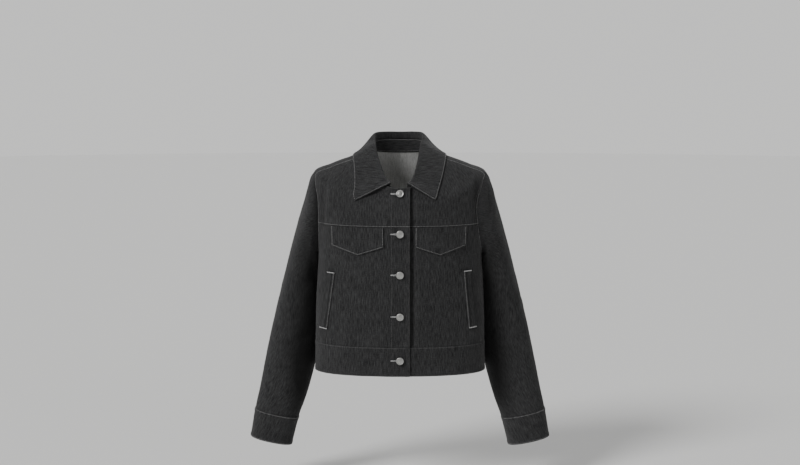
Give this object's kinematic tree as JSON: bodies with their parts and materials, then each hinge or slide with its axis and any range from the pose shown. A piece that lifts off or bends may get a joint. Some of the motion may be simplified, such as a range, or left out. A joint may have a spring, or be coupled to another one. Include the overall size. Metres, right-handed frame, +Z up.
{
  "type": "cropped denim jacket, filled out as worn, with no wearer",
  "caption": "Hollow cropped denim jacket with a pointed collar, chest flaps, slanting welt pockets, a buttoned lap front, a waistband and cuffed sleeves.",
  "frame": {"origin": "on the centre line between the tops of the shoulders, at the height where the shoulder lines meet the neck, in the middle of the shoulders' depth: where the wearer's shoulders hold the jacket", "axes": "+Z up, the fronts face -Y, +X to the wearer's left"},
  "size_m": [0.6994, 0.2257, 0.729],
  "materials": {
    "denim": "washed-black twill, matt, with a fine paler slub along the grain and paler inside",
    "shank_button": "dull silver, worn bright at the rim"
  },
  "bodies": {
    "root": {"front_panel_right": "denim", "front_yoke_right": "denim", "sleeve_right": "denim", "cuff_right": "denim", "pocket_flap_right": "denim", "pocket_welt_right": "denim", "front_panel_left": "denim", "front_yoke_left": "denim", "sleeve_left": "denim", "cuff_left": "denim", "pocket_flap_left": "denim", "pocket_welt_left": "denim", "back_panel": "denim", "waistband": "denim", "collar_stand": "denim", "collar_leaf": "denim", "button_1": "shank_button", "button_2": "shank_button", "button_3": "shank_button", "button_4": "shank_button", "button_5": "shank_button"}
  },
  "joints": []
}
